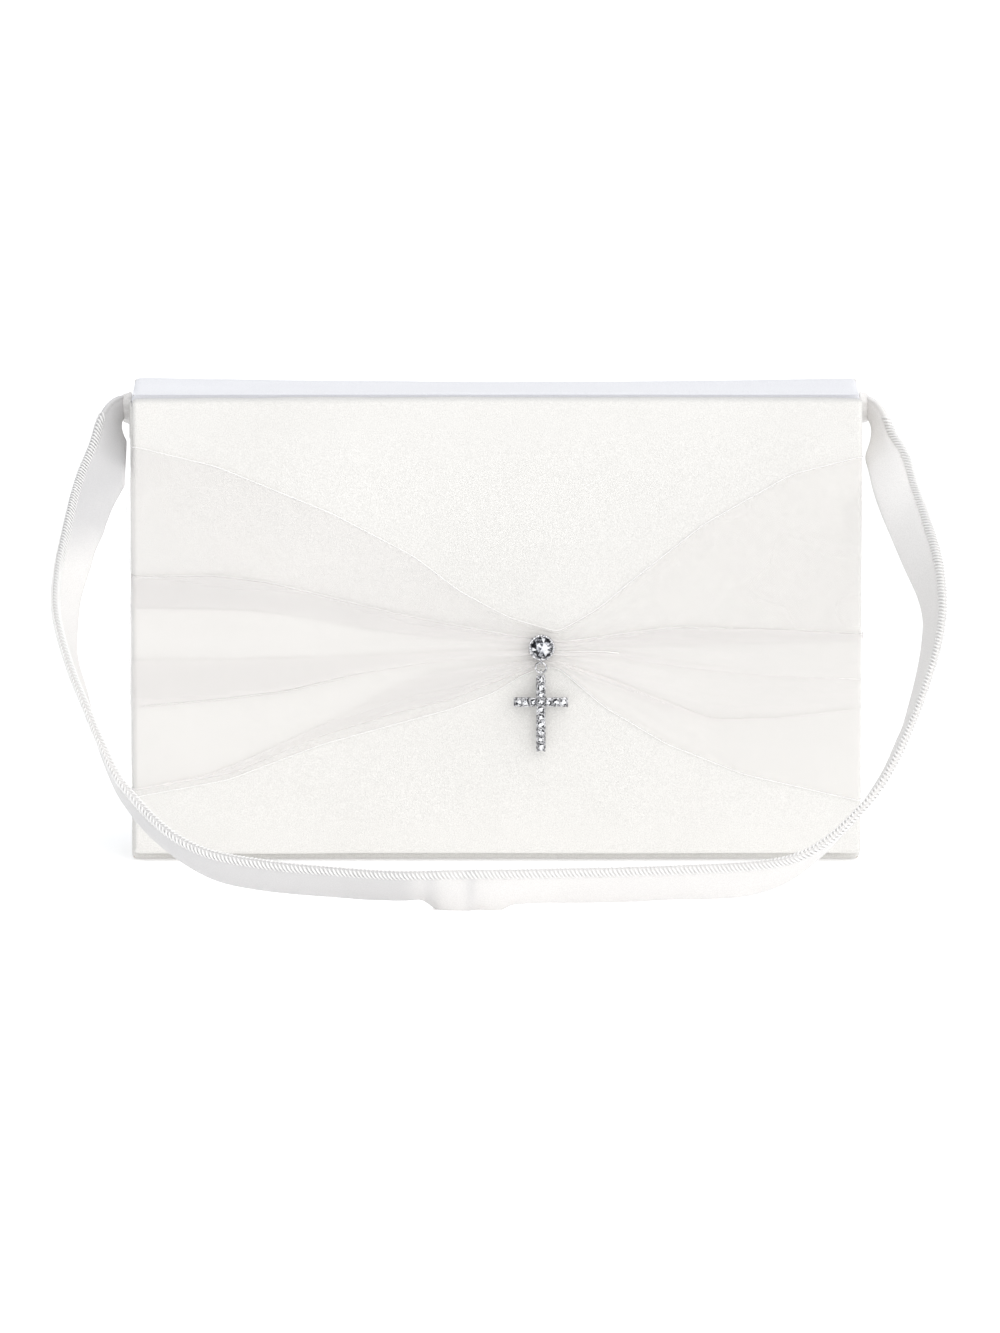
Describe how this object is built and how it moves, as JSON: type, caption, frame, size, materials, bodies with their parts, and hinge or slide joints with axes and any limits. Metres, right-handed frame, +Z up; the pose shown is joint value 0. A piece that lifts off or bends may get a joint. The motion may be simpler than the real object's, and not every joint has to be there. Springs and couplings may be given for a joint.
{
  "type": "prayer book purse",
  "caption": "Stiff satin purse for a small prayer book, with a hinged top and front flap, gathered organza sash, hanging stone-set cross and sewn strap.",
  "frame": {"origin": "centre of the flat base, on the surface it stands on", "axes": "+Z up, -Y the front with the flap, +X to the right of the flap seen from the front"},
  "size_m": [0.2419, 0.1308, 0.1288],
  "materials": {
    "satin": "duchess satin with a soft sheen",
    "strap_satin": "satin strip with a topstitched edge",
    "lining": "smooth lining satin",
    "board": "grey-brown pressed board",
    "wadding": "thin wadding or interfacing",
    "organza": "sheer organza",
    "thread": "sewing thread",
    "silver": "bright rhodium plate",
    "nickel": "nickel plate",
    "crystal": "cut and foiled glass stones"
  },
  "bodies": {
    "case": {"body_satin": "satin", "front_board": "board", "back_board": "board", "base_board": "board", "left_side_board": "board", "right_side_board": "board", "pocket_lining": "lining", "snap_socket": "nickel", "snap_socket_washer": "nickel", "left_strap_tab": "satin", "right_strap_tab": "satin"},
    "top_panel": {"top_board": "board", "top_satin": "satin", "top_lining": "lining", "front_hinge_cloth": "satin", "back_hinge_cloth": "satin"},
    "flap": {"flap_board": "board", "flap_padding": "wadding", "flap_satin": "satin", "flap_lining": "lining", "snap_stud": "nickel", "snap_stud_washer": "nickel", "organza_sash": "organza", "gather_thread": "thread", "bezel": "silver", "bezel_crystal": "crystal"},
    "jump_ring": {"jump_ring": "silver"},
    "cross": {"cross_frame": "silver", "cross_stones": "crystal"},
    "strap": {"strap_satin": "strap_satin", "strap_interfacing": "wadding", "strap_stitching": "thread"}
  },
  "joints": [
    {"name": "top_fold", "type": "hinge", "parent": "case", "child": "top_panel", "pos_m": [0, 0.0144, 0.1271], "axis": [-1, 0, 0], "range_deg": [0, 100]},
    {"name": "flap_fold", "type": "hinge", "parent": "top_panel", "child": "flap", "pos_m": [0, -0.018, 0.1271], "axis": [-1, 0, 0], "range_deg": [0, 150]},
    {"name": "ring_swing", "type": "hinge", "parent": "flap", "child": "jump_ring", "pos_m": [0.0124, -0.0236, 0.0558], "axis": [-1, 0, 0], "range_deg": [0, 80]},
    {"name": "cross_swing", "type": "hinge", "parent": "jump_ring", "child": "cross", "pos_m": [0.0124, -0.0236, 0.0542], "axis": [0, 1, 0], "range_deg": [-30, 30]},
    {"name": "strap_swing", "type": "hinge", "parent": "case", "child": "strap", "pos_m": [0, 0.001, 0.1212], "axis": [-1, 0, 0], "range_deg": [0, 136]}
  ]
}
